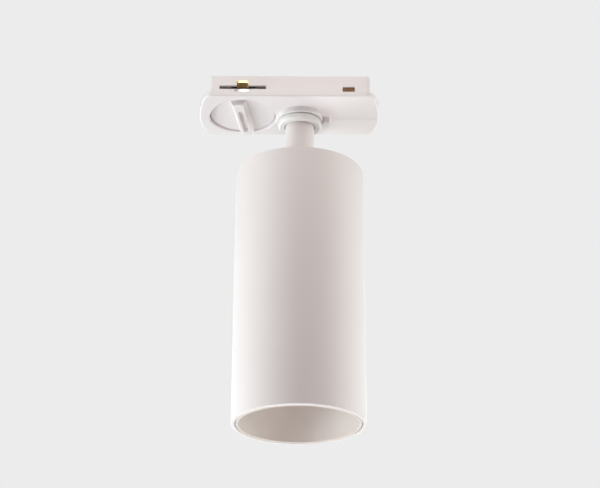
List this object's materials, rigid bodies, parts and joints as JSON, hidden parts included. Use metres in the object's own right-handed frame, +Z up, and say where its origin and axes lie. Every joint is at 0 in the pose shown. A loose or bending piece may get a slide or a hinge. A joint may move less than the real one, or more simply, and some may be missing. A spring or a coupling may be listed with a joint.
{
  "type": "track spotlight",
  "caption": "White tubular spotlight hung from a lighting track by a twist-lock adapter, with a swivelling stem and a head that tilts.",
  "frame": {"origin": "on the axis of the swivel, in the plane of the track's underside, where the adapter's seat bears on it", "axes": "+Z up into the track, +X along the track away from the lock knob, -Y the front; the head hangs straight down at rest"},
  "size_m": [0.0791, 0.055, 0.1581],
  "materials": {
    "white_nylon": "satin moulded",
    "ring_nylon": "satin moulded",
    "white_coat": "fine matte powder coat",
    "baffle_white": "matte",
    "zinc_steel": "zinc plated",
    "brass": "bright",
    "bronze": "spring bronze",
    "black_nylon": "moulded",
    "grey_nylon": "moulded",
    "ceramic": "unglazed steatite",
    "lead_live": "silicone",
    "lead_neutral": "silicone",
    "lead_earth": "silicone",
    "lamp_white": "moulded",
    "lens_clear": "frosted",
    "board": "solder mask",
    "led_yellow": "phosphor"
  },
  "bodies": {
    "adapter": {"housing_front": "white_nylon", "housing_rear": "white_nylon", "housing_screws": "zinc_steel", "live_terminal": "brass", "neutral_terminal": "brass", "earth_clip": "bronze", "adapter_earth_lead": "lead_earth", "adapter_live_lead": "lead_live", "adapter_neutral_lead": "lead_neutral"},
    "lock": {"lock_knob": "white_nylon", "lock_cam": "zinc_steel", "contact_rotor": "black_nylon", "live_blade": "brass", "neutral_blade": "brass", "rotor_screw": "zinc_steel"},
    "swivel": {"stem": "white_coat", "swivel_ring": "ring_nylon", "swivel_spring_washer": "zinc_steel", "stem_nut": "brass", "stem_earth_lead": "lead_earth", "stem_live_lead": "lead_live", "stem_neutral_lead": "lead_neutral"},
    "head": {"body_tube": "white_coat", "top_cap": "white_coat", "cap_screws": "zinc_steel", "pivot_bracket": "zinc_steel", "bracket_screws": "zinc_steel", "pivot_screw": "zinc_steel", "pivot_spring_washer": "zinc_steel", "pivot_nut": "zinc_steel", "friction_washers": "grey_nylon", "holder_strap": "zinc_steel", "strap_screw": "zinc_steel", "strap_nut": "zinc_steel", "lamp_holder": "ceramic", "holder_contacts": "brass", "holder_screws": "zinc_steel", "head_earth_lead": "lead_earth", "head_live_lead": "lead_live", "head_neutral_lead": "lead_neutral", "earth_tag": "brass"},
    "lamp": {"lamp_housing": "lamp_white", "lamp_lens": "lens_clear", "lamp_board": "board", "lamp_leds": "led_yellow", "lamp_pins": "brass"},
    "baffle": {"front_baffle": "baffle_white", "baffle_clips": "zinc_steel"}
  },
  "joints": [
    {"name": "lock_turn", "type": "hinge", "parent": "adapter", "child": "lock", "pos_m": [-0.0252, 0, 0], "axis": [0, 0, 1], "range_deg": [0, 90]},
    {"name": "pan", "type": "hinge", "parent": "adapter", "child": "swivel", "pos_m": [0, 0, 0], "axis": [0, 0, 1], "range_deg": [-70, 250]},
    {"name": "tilt", "type": "hinge", "parent": "swivel", "child": "head", "pos_m": [0, 0, -0.047], "axis": [1, 0, 0], "range_deg": [0, 90]},
    {"name": "lamp_turn", "type": "hinge", "parent": "head", "child": "lamp", "pos_m": [0, 0, -0.09], "axis": [0, 0, -1], "range_deg": [0, 30]},
    {"name": "baffle_pull", "type": "slide", "parent": "head", "child": "baffle", "axis": [0, 0, -1], "range_m": [0, 0.02]}
  ]
}
